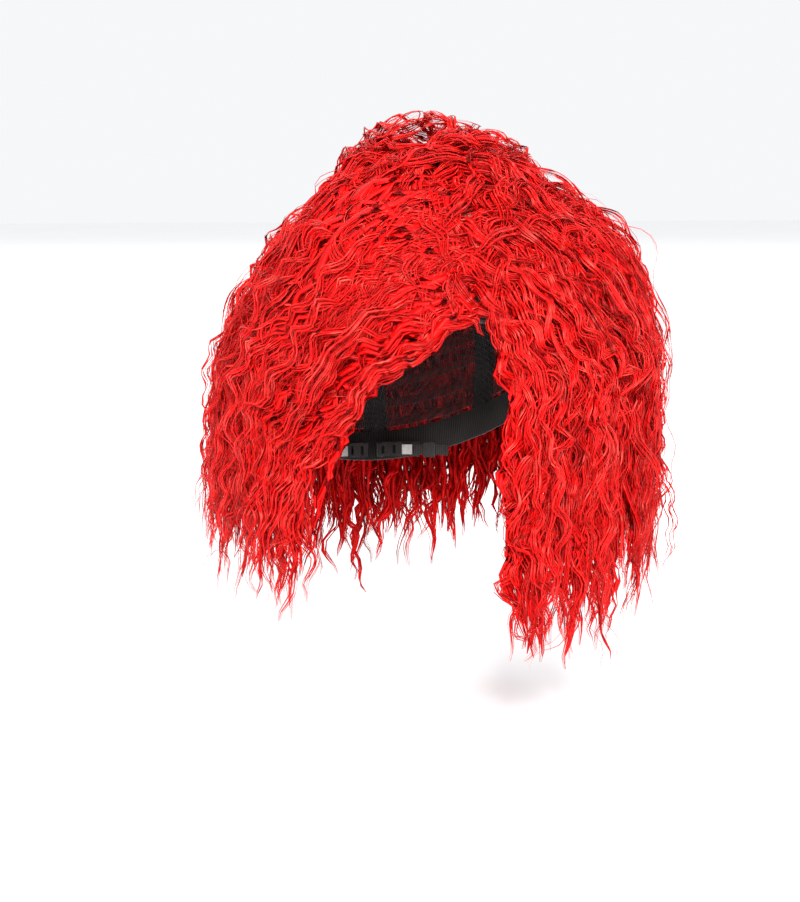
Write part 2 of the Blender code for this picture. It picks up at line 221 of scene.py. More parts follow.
# %% Short ways to add and join nodes
class Wires:
    """What a Geometry Nodes tree and a material share."""

    def __init__(self, node_tree):
        self.nodes, self.links = node_tree.nodes, node_tree.links

    def give(self, socket, value):
        """Joins a socket to another one, or sets its value. None leaves it as it is."""
        if isinstance(value, bpy.types.NodeSocket):
            self.links.new(value, socket)
        elif value is not None:
            socket.default_value = value

    def add(self, kind, settings=None, **inputs):
        """A node, its settings, and its inputs by name, with _ for a space."""
        node = self.nodes.new(kind)
        for key, value in (settings or {}).items():
            setattr(node, key, value)
        for name, value in inputs.items():
            self.give(node.inputs[name.replace("_", " ")], value)
        return node

    def math(self, operation, *values):
        node = self.add("ShaderNodeMath", {"operation": operation})
        for socket, value in zip(node.inputs, values):
            self.give(socket, value)
        return node.outputs[0]

    def times(self, first, second):
        return self.math("MULTIPLY", first, second)

    def plus(self, first, second):
        return self.math("ADD", first, second)


# %% A tree with named inputs
class Tree(Wires):
    """A Geometry Nodes tree that works on lines, with its sizes and material as named inputs."""

    def __init__(self, name, source, sizes, material):
        self.group = bpy.data.node_groups.new(name, "GeometryNodeTree")
        super().__init__(self.group)
        self.inputs, self.material = {}, material
        sockets = self.group.interface
        sockets.new_socket("Geometry", in_out="OUTPUT", socket_type="NodeSocketGeometry")
        for label, kind, value in ((source, "Geometry", None), *sizes, (material, "Material", None)):
            socket = sockets.new_socket(label, in_out="INPUT", socket_type="NodeSocket" + kind)
            if value is not None:
                socket.default_value = value
            self.inputs[label] = socket.identifier
        self.given = self.nodes.new("NodeGroupInput").outputs
        self.lines = self.add("GeometryNodeMeshToCurve", Mesh=self.given[source]).outputs[0]

    def vector(self, operation, first, second=None):
        node = self.add("ShaderNodeVectorMath", {"operation": operation})
        self.give(node.inputs[0], first)
        self.give(node.inputs["Scale" if operation == "SCALE" else 1], second)
        return node.outputs[0]

    def attribute(self, name, kind="FLOAT"):
        return self.add("GeometryNodeInputNamedAttribute", {"data_type": kind}, Name=name).outputs[0]

    def noise(self, place, seed):
        """Smooth noise along a line, different for each seed."""
        where = self.add("ShaderNodeCombineXYZ", X=place, Y=seed).outputs[0]
        flat = {"noise_dimensions": "2D"}
        return self.add("ShaderNodeTexNoise", flat, Vector=where, Scale=1.0, Detail=1.0).outputs[0]

    def random(self, low, high, index, seed):
        node = self.add("FunctionNodeRandomValue", {"data_type": "FLOAT"}, ID=index, Seed=seed)
        node.inputs[2].default_value, node.inputs[3].default_value = low, high
        return node.outputs[1]

    def curve(self, value, points):
        node = self.nodes.new("ShaderNodeFloatCurve")
        shape = node.mapping.curves[0]
        for i, (x, y) in enumerate(points):
            point = shape.points[i] if i < 2 else shape.points.new(x, y)
            point.location = (x, y)
        node.mapping.update()
        self.give(node.inputs["Value"], value)
        return node.outputs[0]

    def capture(self, geometry, **fields):
        """Keeps what each field says at every point, to be read after the shape has changed."""
        node = self.add("GeometryNodeCaptureAttribute", {"domain": "POINT"})
        for name in fields:
            node.capture_items.new("FLOAT", name)
        self.give(node.inputs["Geometry"], geometry)
        for name, field in fields.items():
            self.give(node.inputs[name], field)
        return node

    def finish(self, geometry):
        """Every tree here ends in smooth faces, real meshes and its material."""
        smooth = self.add("GeometryNodeSetShadeSmooth", Geometry=geometry).outputs[0]
        whole = self.add("GeometryNodeRealizeInstances", Geometry=smooth).outputs[0]
        painted = self.add("GeometryNodeSetMaterial", Geometry=whole, Material=self.given[self.material])
        self.links.new(painted.outputs[0], self.nodes.new("NodeGroupOutput").inputs[0])
        return self


# %% Build the lock tree
TONE_LANES = 16
LANE_SPREAD = 0.55
# Waves for each metre of strand: its pace drifts, its crimp swells, and its surface frizzes.
DRIFT_WAVES, SWELL_WAVES, FRIZZ_WAVES = 26.0, 17.0, 60.0
# How far the crimp's rise lags behind its swing, and how far the strand rolls with it.
CRIMP_LAG, CRIMP_ROLL = 1.3, 0.5
# The strand's rim takes this many lanes of U.
RIM_LANES = 1.4


def build_lock_tree():
    sizes = (
        ("Strands", "Int", 6), ("Seed", "Int", 1), ("Step", "Float", 0.0036),
        ("Lock Width", "Float", 0.0035), ("Crimp Height", "Float", 0.0032),
        ("Crimp Length", "Float", 0.018), ("Strand Width", "Float", 0.0011),
        ("Strand Thickness", "Float", 0.0003), ("Frizz", "Float", 0.0006),
        ("Unevenness", "Float", 1.2), ("Curl", "Float", 0.45),
    )
    tree = Tree("hair lock", "Guides", sizes, "Fibre")
    given, times, plus = tree.given, tree.times, tree.plus

    copies = tree.add(
        "GeometryNodeDuplicateElements", {"domain": "SPLINE"}, Geometry=tree.lines, Amount=given["Strands"]
    )
    fine = tree.add(
        "GeometryNodeResampleCurve", {"mode": "LENGTH"},
        Curve=copies.outputs["Geometry"], Length=given["Step"],
    )
    on_spline = tree.add("GeometryNodeFieldOnDomain", {"domain": "CURVE", "data_type": "INT"})
    tree.give(on_spline.inputs[0], tree.add("GeometryNodeInputIndex").outputs[0])

    def vary(low, high, draw):
        """A value that differs from strand to strand, with its own draw."""
        return tree.random(low, high, on_spline.outputs[0], plus(given["Seed"], draw))

    place = tree.add("GeometryNodeSplineParameter")
    share, run = place.outputs["Factor"], place.outputs["Length"]
    away = tree.attribute("away", "FLOAT_VECTOR")
    along = tree.add("GeometryNodeInputTangent").outputs[0]
    side = tree.vector("NORMALIZE", tree.vector("CROSS_PRODUCT", along, away))

    spread = times(given["Lock Width"], tree.curve(share, LOCK_SPREAD))
    spread = times(spread, tree.attribute("fullness"))
    phase = tree.attribute("phase")
    pace = tree.math("DIVIDE", run, times(given["Crimp Length"], tree.attribute("pace")))
    drift = tree.noise(times(run, DRIFT_WAVES), times(phase, 57.0))
    wave = plus(plus(pace, vary(-0.06, 0.06, 2)), phase)
    wave = plus(wave, times(drift, given["Unevenness"]))
    turn = times(wave, 2 * math.pi)
    height = times(given["Crimp Height"], tree.curve(share, CRIMP_ALONG))
    height = times(height, tree.attribute("crimp"))
    swell = tree.noise(times(run, SWELL_WAVES), times(phase, 91.0))
    height = times(height, plus(times(swell, 1.9), 0.1))
    height = times(height, vary(0.8, 1.2, 3))
    rise = times(height, times(tree.math("SINE", plus(turn, CRIMP_LAG)), given["Curl"]))
    sideways = plus(times(spread, vary(-1.0, 1.0, 0)), times(height, tree.math("SINE", turn)))
    outwards = plus(times(spread, vary(-0.7, 0.7, 1)), rise)

    rough = tree.add(
        "ShaderNodeTexNoise", {"noise_dimensions": "4D"}, W=vary(0.0, 40.0, 4), Scale=FRIZZ_WAVES,
        Detail=1.0, Vector=tree.add("GeometryNodeInputPosition").outputs[0],
    )
    frizz = tree.vector("SUBTRACT", rough.outputs["Color"], (0.5, 0.5, 0.5))
    frizz = tree.vector("SCALE", frizz, times(given["Frizz"], 4.0))
    shift = tree.vector("ADD", tree.vector("SCALE", side, sideways), tree.vector("SCALE", away, outwards))
    shift = tree.vector("ADD", shift, frizz)
    placed = tree.add("GeometryNodeSetPosition", Geometry=fine.outputs[0], Offset=shift)
    faced = tree.add("GeometryNodeSetCurveNormal", {"mode": "FREE"}, Curve=placed.outputs[0], Normal=away)
    roll = plus(vary(-0.6, 0.6, 5), times(tree.math("SINE", turn), CRIMP_ROLL))
    rolled = tree.add("GeometryNodeSetCurveTilt", Curve=faced.outputs[0], Tilt=roll)
    width = times(tree.curve(share, STRAND_TAPER), vary(0.25, 1.3, 6))
    thinned = tree.add("GeometryNodeSetCurveRadius", Curve=rolled.outputs[0], Radius=width)

    lane = plus(tree.attribute("lane"), vary(-LANE_SPREAD, LANE_SPREAD, 7))
    lane = tree.math("MINIMUM", tree.math("MAXIMUM", lane, 0.0), TONE_LANES - 0.01)
    kept = tree.capture(thinned.outputs[0], along=share, lane=tree.math("FLOOR", lane))
    ring = tree.add("GeometryNodeCurvePrimitiveCircle", Resolution=3, Radius=1.0)
    size = tree.add("ShaderNodeCombineXYZ", X=given["Strand Thickness"], Y=given["Strand Width"], Z=1.0)
    flat = tree.add("GeometryNodeTransform", Geometry=ring.outputs[0], Scale=size.outputs[0])
    rim = tree.capture(flat.outputs[0], across=tree.add("GeometryNodeSplineParameter").outputs["Factor"])
    swept = tree.add(
        "GeometryNodeCurveToMesh", Curve=kept.outputs[0], Profile_Curve=rim.outputs[0], Fill_Caps=True,
        Scale=tree.add("GeometryNodeInputRadius").outputs[0],
    )
    across = times(rim.outputs["across"], RIM_LANES)
    u = tree.math("DIVIDE", plus(kept.outputs["lane"], across), TONE_LANES)
    uv = tree.add("ShaderNodeCombineXYZ", X=u, Y=kept.outputs["along"])
    mapped = tree.add(
        "GeometryNodeStoreNamedAttribute", {"data_type": "FLOAT2", "domain": "CORNER"},
        Geometry=swept.outputs[0], Name="OFBake",
    )
    tree.give([s for s in mapped.inputs if s.name == "Value" and s.enabled][0], uv.outputs[0])
    return tree.finish(mapped.outputs[0])


LOCK_SPREAD = [(0.0, 0.45), (0.25, 0.9), (0.6, 1.0), (0.85, 0.6), (1.0, 0.12)]
CRIMP_ALONG = [(0.0, 0.3), (0.15, 1.0), (0.5, 0.95), (0.8, 0.6), (1.0, 0.45)]
STRAND_TAPER = [(0.0, 0.7), (0.2, 1.0), (0.5, 0.95), (0.82, 0.5), (1.0, 0.04)]
lock_tree = build_lock_tree()
print("lock tree:", len(lock_tree.nodes), "nodes")

# %% [markdown]
# ## From guides to a mesh
# A tree runs once for every piece. Its evaluated result becomes a plain mesh, so that nothing
# live is left on it. A guide carries facts of its own, such as how strongly its lock is crimped,
# as attributes of its points, and the tree reads them by name.

# %% Run a tree on guide lines
def line_mesh(name, points, edges, away, facts):
    """Lines as a mesh of edges that carries what the tree reads at each point."""
    mesh = bpy.data.meshes.new(name)
    mesh.vertices.add(len(points))
    mesh.vertices.foreach_set("co", points.astype(np.float32).ravel())
    mesh.edges.add(len(edges))
    mesh.edges.foreach_set("vertices", edges.astype(np.int32).ravel())
    field = mesh.attributes.new("away", "FLOAT_VECTOR", "POINT")
    field.data.foreach_set("vector", away.astype(np.float32).ravel())
    for key, values in facts.items():
        field = mesh.attributes.new(key, "FLOAT", "POINT")
        field.data.foreach_set("value", values.astype(np.float32))
    return mesh


def settle(obj):
    """Keeps what an object's modifiers make as its plain mesh, and removes them."""
    graph = bpy.context.evaluated_depsgraph_get()
    made = bpy.data.meshes.new_from_object(obj.evaluated_get(graph))
    obj.modifiers.clear()
    obj.data = made
    made.name = obj.name
    return made


def triangles(*objects):
    return sum(len(p.vertices) - 2 for obj in objects for p in obj.data.polygons)


def run_tree(name, tree, mesh, settings):
    """Runs the tree on the mesh as a modifier, and keeps the result as a plain mesh."""
    obj = bpy.data.objects.new(name, mesh)
    scene.collection.objects.link(obj)
    modifier = obj.modifiers.new("Tree", "NODES")
    modifier.node_group = tree.group
    for key, value in settings.items():
        modifier[tree.inputs[key]] = value
    settle(obj)
    print(f"{name}: {triangles(obj)} triangles")
    return obj


def grow(name, guides, away, facts, settings):
    """Grows one lock on each guide."""
    count, points = guides.shape[:2]
    first = np.arange(count * points).reshape(count, points)
    edges = np.stack([first[:, :-1], first[:, 1:]], axis=-1).reshape(-1, 2)
    facts = {key: np.repeat(values, points) for key, values in facts.items()}
    mesh = line_mesh(name, guides.reshape(-1, 3), edges, away.reshape(-1, 3), facts)
    return run_tree(name, lock_tree, mesh, settings)


# %% [markdown]
# ## The fibre's colour
# The real fibre is a glossy plastic thread, dyed through in one bright red. It looks uneven
# because each lock turns its crests to the light and hides its roots. The material takes a
# tone from the lock's lane and fine streaks along the fibre; it paints in coral highlights in
# random patches and painted shade at the roots. It reads the strand's own UV map, so it follows every bend.

# %% Short ways to paint
class Paint(Wires):
    """A material on the Principled shader."""

    def __init__(self, name):
        self.material = bpy.data.materials.new(name)
        self.material.use_nodes = True
        super().__init__(self.material.node_tree)
        self.shader = self.nodes["Principled BSDF"]

    def ramp(self, value, stops):
        node = self.nodes.new("ShaderNodeValToRGB")
        elements = node.color_ramp.elements
        for i, (place, color) in enumerate(stops):
            element = elements[i] if i < 2 else elements.new(place)
            element.position = place
            element.color = (*color, 1.0)
        self.give(node.inputs[0], value)
        return node.outputs[0]

    def mix(self, kind, share, a, b):
        node = self.add("ShaderNodeMix", {"data_type": "RGBA", "blend_type": kind})
        for socket, value in zip((node.inputs[0], node.inputs[6], node.inputs[7]), (share, a, b)):
            self.give(socket, value)
        return node.outputs[2]

    def noise(self, scale, detail, x=None, y=None):
        """Noise on the given two coordinates, or on Object coordinates without them."""
        if x is None:
            place = self.add("ShaderNodeTexCoord").outputs["Object"]
        else:
            place = self.add("ShaderNodeCombineXYZ", X=x, Y=y).outputs[0]
        return self.add("ShaderNodeTexNoise", Vector=place, Scale=scale, Detail=detail).outputs[0]

    def bump(self, height, strength, distance):
        node = self.add("ShaderNodeBump", Strength=strength, Distance=distance, Height=height)
        self.links.new(node.outputs[0], self.shader.inputs["Normal"])

    def set(self, **values):
        for name, value in values.items():
            self.give(self.shader.inputs[name.replace("_", " ")], value)


# %% The fibre, outside and inside
def fibre_paint(name, dark, middle, light, painted_highlight, shine):
    paint = Paint(name)
    uv = paint.add("ShaderNodeUVMap", {"uv_map": "OFBake"})
    split = paint.add("ShaderNodeSeparateXYZ", Vector=uv.outputs[0])
    across, along = split.outputs["X"], split.outputs["Y"]
    lane = paint.math("FLOOR", paint.times(across, TONE_LANES))
    tone = paint.add("ShaderNodeTexWhiteNoise", {"noise_dimensions": "1D"}, W=lane)
    color = paint.ramp(tone.outputs["Value"], [(0.0, dark), (1.0, light), (0.45, middle)])
    streak = paint.noise(1.0, 2.0, paint.times(across, 130.0), paint.times(along, 4.0))
    shade = paint.ramp(streak, [(0.36, (0.55, 0.4, 0.4)), (0.54, WHITE)])
    color = paint.mix("MULTIPLY", 1.0, color, shade)
    # Painted highlight: coral patches at random along the strand, mixed into the base colour to stand for
    # crests that catch the light.
    highlight_spots = paint.noise(1.0, 1.0, paint.times(across, 43.0), paint.times(along, 15.0))
    painted_highlight_share = paint.ramp(highlight_spots, [(0.56, (0, 0, 0)), (0.74, WHITE)])
    color = paint.mix("MIX", paint.times(painted_highlight_share, 0.75), color, (*painted_highlight, 1.0))
    # Painted shade: each strand is darkened over its first eighth towards the root, for roots hidden under
    # other locks.
    root = paint.ramp(along, [(0.0, (0.8, 0.7, 0.7)), (0.12, WHITE)])
    color = paint.mix("MULTIPLY", 1.0, color, root)
    paint.set(Base_Color=color, Roughness=shine, Specular_IOR_Level=0.15)
    paint.bump(streak, 0.5, 0.4 * MM)
    return paint.material


WHITE = (1, 1, 1)
fibre = fibre_paint(
    "crimped red fibre", (0.42, 0.0005, 0.0005), (0.62, 0.001, 0.001), (0.86, 0.006, 0.005),
    painted_highlight=(1.0, 0.12, 0.09), shine=0.4,
)
# The inner copy, for locks that lie under the others, gets only a faint painted highlight.
deep_fibre = fibre_paint(
    "inner red fibre", (0.6, 0.0005, 0.0005), (0.74, 0.001, 0.001), (0.86, 0.002, 0.002),
    painted_highlight=(0.95, 0.015, 0.012), shine=0.5,
)
print("fibre materials:", fibre.name, "and", deep_fibre.name)

# %% [markdown]
# ## The hair families
# Each side has layers. A mat of broad, dull ribbons lies on the wefts and closes the gaps. Two
# layers of inner and middle locks give the body, fine outer locks give the surface and the
# ragged hem, and a few stray fibres stand free. The three sides are grown as separate pieces.

# %% Where each side's locks hang
HEM = {
    "left": ((5, 22, 60, 90, 125), (-140, -140, -120, -102, -112)),
    "right": ((-125, -90, -51), (-108, -98, -114)),
    "back": ((125, 180, 235), (-112, -122, -108)),
}
ROOT_DEPTH = 15 * MM
# Where on the parting a side's first locks start, and the azimuths that spread the rest along it.
PARTING, LAST_PART = {"left": (12, 6, 125), "right": (15, 51, 125), "back": (12, 6, 125)}, 104
# The forelock: from which azimuth, over how many degrees, and how far it dips and arches.
DIP, ARCH = (-75, 24, 0.35), (-85, 34, 0.15)


def side_guides(side, count, root, length, depth, drift, spread, near_face=1.0, short=0.0):
    """Guide lines for one side. Angles are azimuths in degrees."""
    angles, tips = HEM[side]
    angle = rng.uniform(angles[0], angles[-1], count)
    if near_face < 1:
        face_edge = angles[0] if side == "left" else angles[-1]
        angle = face_edge + (angle - face_edge) * near_face
    first, near, far = PARTING[side]
    share = (np.where(angle > 180, 360 - angle, np.abs(angle)) - near) / (far - near)
    waypoint, arch = np.zeros(count), np.zeros(count)
    if side == "right":
        waypoint = np.where(angle > DIP[0], -DIP[2] * (angle - DIP[0]) / DIP[1], 0.0)
        arch = ARCH[2] * np.clip((angle - ARCH[0]) / ARCH[1], 0, 1)
    share = np.clip(share + rng.normal(0, 0.06, count), 0, 1.45) ** 0.8
    part = np.radians(first + share * (LAST_PART - first))
    tip_z = np.interp(angle, angles, tips) * MM + rng.normal(0, spread, count) + short
    azimuths, latitudes = comb(part, np.radians(angle), waypoint, arch, tip_z)
    return cut_guides(
        azimuths, latitudes, rng.uniform(*root, count), rng.uniform(*length, count),
        rng.uniform(*depth, count), np.full(count, ROOT_DEPTH), rng, drift,
    )


def lock_facts(count, crimp=(0.3, 1.45)):
    """What differs from lock to lock."""
    return {
        "phase": rng.uniform(0, 1, count),
        "pace": rng.uniform(0.85, 1.8, count),
        "crimp": rng.uniform(*crimp, count),
        "fullness": rng.uniform(0.6, 1.4, count),
        "lane": rng.uniform(0, TONE_LANES, count),
    }


# %% What each layer is made of
def lock_look(seed, strands, paint, width, thickness, step, spread, crimp, **more):
    """The tree's inputs for one layer, with sizes in millimetres and crimp as height and length."""
    return {
        "Seed": seed, "Strands": strands, "Fibre": paint, "Strand Width": width * MM,
        "Strand Thickness": thickness * MM, "Step": step * MM, "Lock Width": spread * MM,
        "Crimp Height": crimp[0] * MM, "Crimp Length": crimp[1] * MM, "Frizz": 0.25 * MM, **more,
    }


OUTER = {"Curl": 0.5, "Unevenness": 0.75}
CRIMP = (3.1, 19)
# name: locks per degree, root share, lengths, depths, drift, tip spread, crimp range, look
LAYERS = {
    "mat": (
        0.7, (0, 0.12), (300, 340), (13, 20), 2, 12, (0.6, 1.1),
        lock_look(5, 4, deep_fibre, 3.4, 0.4, 7, 7, (3.2, 28)),
    ),
    "inner": (
        0.75, (0, 0.6), (170, 250), (7, 14), 4, 12, (0.3, 1.45),
        lock_look(3, 5, deep_fibre, 2.0, 0.25, 5.5, 3.4, CRIMP, **OUTER),
    ),
    "middle": (
        0.68, (0, 0.3), (110, 230), (0, 13), 4, 12, (0.3, 1.45),
        lock_look(13, 8, fibre, 1.0, 0.2, 4, 3.4, CRIMP, **OUTER),
    ),
    "outer": (
        0.85, (0.2, 0.7), (90, 190), (-5, 8), 4, 12, (0.3, 1.45),
        lock_look(23, 8, fibre, 0.72, 0.2, 4, 3.4, CRIMP, **OUTER),
    ),
    "strays": (
        0.8, (0.1, 0.8), (60, 150), (-5, 5), 5, 16, (0.4, 1.6),
        lock_look(77, 2, fibre, 0.22, 0.14, 5, 6, (3.4, 22)),
    ),
}
FRINGE_LOCKS = 34
BACK_SHARE = 0.85
MAT_SHORTER = 14 * MM
FRINGE_LOOK = lock_look(33, 9, fibre, 0.75, 0.2, 3.3, 3.4, CRIMP, **OUTER)


def span(pair):
    return tuple(v * MM for v in pair)


# %% Grow the three sides
rng = np.random.default_rng(7)
STANDS_FOR = {
    side: [
        n for n in frame["nodes"]
        if n.endswith("_" + side) and n.startswith(("hair_", "curtain_", "forelock"))
    ]
    for side in HEM
}
STANDS_FOR["back"].append("nape_hair")
hair = []
for side, (angles, tips) in HEM.items():
    wide = angles[-1] - angles[0]
    grown = []
    for layer, (per_degree, root, length, depth, drift, spread, crimp, look) in LAYERS.items():
        count = int(wide * per_degree * (BACK_SHARE if side == "back" else 1))
        guides, away = side_guides(
            side, count, root, span(length), span(depth), drift * MM, spread * MM,
            short=MAT_SHORTER if layer == "mat" else 0.0,
        )
        grown.append(grow(f"hair_{side}_{layer}", guides, away, lock_facts(count, crimp), look))
    if side != "back":
        guides, away = side_guides(
            side, FRINGE_LOCKS, (0, 0.1), span((80, 190)), span((0, 11)), 2.5 * MM, 12 * MM,
            near_face=0.3,
        )
        grown.append(grow(f"hair_{side}_fringe", guides, away, lock_facts(FRINGE_LOCKS), FRINGE_LOOK))
    for obj in grown:
        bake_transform(obj)
    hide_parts(*STANDS_FOR[side])
    hair += grown

# %% [markdown]
# ## The crown
# Over the crown the locks are short and start in every direction, which is what makes the top
# look tossed. These guides are not combed from the parting: each starts anywhere on the dome
# and wanders downhill. They are rooted on the cap and don't swing.

# %% Locks that wander over the dome
def roam_guides(count, azimuth, latitude, length, depth, swing, bow, lean):
    at = rng.uniform(*azimuth, count)
    height = np.arcsin(rng.uniform(math.sin(latitude[0]), math.sin(latitude[1]), count))
    heading = rng.normal(0, swing, count) + lean * np.sign(at - 0.05)
    curl = rng.normal(0, 9.0, count)
    step = rng.uniform(*length, count) / (GUIDE_POINTS - 1)
    where = np.empty((count, GUIDE_POINTS, 2))
    for i in range(GUIDE_POINTS):
        where[:, i, 0], where[:, i, 1] = at, height
        at = at + np.sin(heading) * step / (BELL_RADIUS * np.maximum(np.cos(height), 0.25))
        height = height - np.cos(heading) * step / BELL_HEIGHT
        heading = heading + curl * step
    share = np.linspace(0, 1, GUIDE_POINTS)[None]
    inside = rng.uniform(*depth, count)[:, None] + 12 * MM * (1 - share) ** 3
    inside = inside - rng.uniform(*bow, count)[:, None] * np.sin(math.pi * share**0.8)
    line = clear_of_cap(bell_point(where[..., 0], where[..., 1], inside))
    return line, bell_normal(line)


ALL_ROUND = (0, 2 * math.pi)
CROWN_CRIMP = (3.3, 19)
TOSSED = {"Curl": 0.6, "Unevenness": 0.75}
# name: locks, azimuths, latitudes, lengths, depths, swing, bows, lean, strands, strand width
CROWN = {
    "mat": (110, ALL_ROUND, (0.8, 1.55), (60, 100), (12, 20), 0.9, (0, 2), 0.0, 5, 2.4),
    "long": (95, ALL_ROUND, (0.75, 1.5), (60, 110), (3, 11), 0.9, (0, 2.5), 0.0, 9, 0.85),
    "short": (90, ALL_ROUND, (0.6, 1.4), (40, 75), (1, 10), 1.1, (0, 3.5), 0.0, 9, 0.8),
    "front": (115, (-1.6, 1.1), (0.7, 1.35), (50, 85), (3, 13), 0.8, (0, 6), 0.0, 9, 0.8),
    "parting": (70, (-0.55, 0.5), (0.5, 0.85), (45, 80), (3, 14), 0.35, (0, 4), 1.0, 9, 0.8),
    "peak": (46, (-0.3, 0.17), (0.38, 0.7), (32, 52), (5, 17), 0.75, (0, 3), 0.0, 9, 0.8),
    "apex": (48, ALL_ROUND, (1.08, 1.55), (30, 65), (0, 9), 1.2, (0, 2), 0.0, 9, 0.9),
}
for seed, (name, row) in enumerate(CROWN.items()):
    count, azimuth, latitude, length, depth, swing, bow, lean, strands, width = row
    guides, away = roam_guides(
        count, azimuth, latitude, span(length), span(depth), swing, span(bow), lean
    )
    paint = deep_fibre if name == "mat" else fibre
    look = lock_look(20 + 10 * seed, strands, paint, width, 0.22, 3.9, 3.4, CROWN_CRIMP, **TOSSED)
    obj = grow("hair_crown_" + name, guides, away, lock_facts(count), look)
    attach(obj, "cap")
    hair.append(obj)
print("hair:", triangles(*hair), "triangles")

# %% [markdown]
# ## Cloths of the cap
# The cap is black: woven cotton tapes, a satin front band, a ribbed elastic nape band and a
# knitted net. The one pale piece is the fine mesh under the parting. Every cloth is a pattern
# of crossing sine waves counted round the head, so that threads run level and upright and
# meet without a seam at the back. On the crown, flat X and Y take their place.

# %% A cloth material
def cloth_paint(name, light, dark, threads, rows, twill=0.0, flat=False, rough=0.75, sheen=0.3):
    """threads are waves round the head and rows are waves for each metre of height."""
    paint = Paint(name)
    place = paint.add("ShaderNodeTexCoord").outputs["Object"]
    x, y, rise = paint.add("ShaderNodeSeparateXYZ", Vector=place).outputs
    if flat:
        turn, rise = paint.times(x, 2 * math.pi * rows), y
    else:
        turn = paint.times(paint.math("ARCTAN2", x, y), threads)
    climb = paint.times(rise, 2 * math.pi * rows)
    turn = paint.plus(turn, paint.times(climb, twill))
    weave = paint.math("SINE", turn)
    if rows:
        weave = paint.times(weave, paint.math("SINE", climb))
    weave = paint.math("MULTIPLY_ADD", weave, 0.5, 0.5)
    height = paint.plus(weave, paint.times(paint.noise(FLECKS, 2.0), 0.5))
    color = paint.ramp(height, [(0.25, dark), (1.0, light)])
    shade = paint.ramp(paint.noise(WORN_PATCHES, 2.0), [(0.35, (0.7, 0.7, 0.7)), (0.65, WHITE)])
    color = paint.mix("MULTIPLY", 1.0, color, shade)
    paint.set(Base_Color=color, Roughness=rough, Specular_IOR_Level=0.25)
    paint.set(Sheen_Weight=sheen, Sheen_Roughness=0.4)
    paint.bump(height, 0.6, 0.12 * MM)
    return paint.material


FLECKS, WORN_PATCHES = 900.0, 60.0
BLACK, CHARCOAL = (0.012, 0.011, 0.011), (0.045, 0.041, 0.04)
CLOTH = {
    "satin": cloth_paint("satin band", (0.07, 0.05, 0.05), (0.02, 0.015, 0.015), 620, 900, 1.0, rough=0.38),
    "elastic": cloth_paint("ribbed elastic", CHARCOAL, BLACK, 360, 0, rough=0.8),
    "tape_cloth": cloth_paint("cotton tape", CHARCOAL, BLACK, 520, 700, 0.5),
    "net_black": cloth_paint("nylon net thread", (0.05, 0.048, 0.048), BLACK, 1400, 1500, rough=0.5),
    "skin_mesh": cloth_paint("parting mesh", (0.62, 0.43, 0.34), (0.3, 0.18, 0.13), 0, 650, flat=True),
    "felt": cloth_paint(
        "crown felt", (0.12, 0.012, 0.012), (0.05, 0.004, 0.004), 0, 260, flat=True, sheen=0.6
    ),
    "label_cloth": cloth_paint("label weave", (0.82, 0.82, 0.8), (0.5, 0.5, 0.49), 700, 1100, rough=0.5),
    "weft_red": cloth_paint("weft fibre heads", (0.5, 0.012, 0.01), (0.12, 0.002, 0.002), 560, 0, rough=0.6),
}
THREAD_TWIST = (900, 2500, 1.0)
thread_black = cloth_paint(
    "black sewing thread", (0.09, 0.085, 0.08), (0.02, 0.02, 0.02), *THREAD_TWIST, rough=0.5
)
thread_red = cloth_paint(
    "red sewing thread", (0.6, 0.02, 0.015), (0.2, 0.003, 0.003), *THREAD_TWIST, rough=0.5
)
print("cloths:", ", ".join(m.name for m in CLOTH.values()))

# %% [markdown]
# ## Cloth pieces
# The frame's solids already have the cut, place and thickness of each band, tape, tab and
# strap, so each cloth piece starts as a merged copy of its solid. A bevel rounds the folded
# edges. The outer faces also tell how large the flat cut was: a strip of width w and length l
# has an area w·l and an outline 2(w + l), which gives both. The cap is an ellipsoid, so the
# outward direction at any point comes from its half sizes.

# %% Read a solid's outer face
WELD = 0.01 * MM
# A face is an outer one if its normal leans outwards by more than this share.
LOOKS_OUT = 0.5


def outward(point):
    return Vector([c / s**2 for c, s in zip(point, CAP_HALF)]).normalized()


def cut_size(area, outline):
    """Width and length of the rectangle that has this area and this outline."""
    quarter = outline / 4
    half_gap = math.sqrt(max(quarter**2 - area, 0.0))
    if half_gap == 0.0:
        return math.sqrt(area), math.sqrt(area)
    return quarter - half_gap, area / (quarter - half_gap)


def read_solid(node):
    """A merged copy of a CAD node, its outer faces, their rim, and the size of the flat cut."""
    solid = bmesh.new()
    solid.from_mesh(bpy.data.objects[node].data)
    bmesh.ops.remove_doubles(solid, verts=solid.verts, dist=WELD)
    outer = {f for f in solid.faces if f.normal.dot(outward(f.calc_center_median())) > LOOKS_OUT}
    rim = [e for e in solid.edges if sum(f in outer for f in e.link_faces) == 1]
    cut = cut_size(sum(f.calc_area() for f in outer), sum(e.calc_length() for e in rim))
    return solid, outer, rim, cut


# %% Soften a solid into cloth
CLOTH_EDGE = 0.22 * MM
FOLD_ANGLE, CREASE_ANGLE = math.radians(50), math.radians(40)


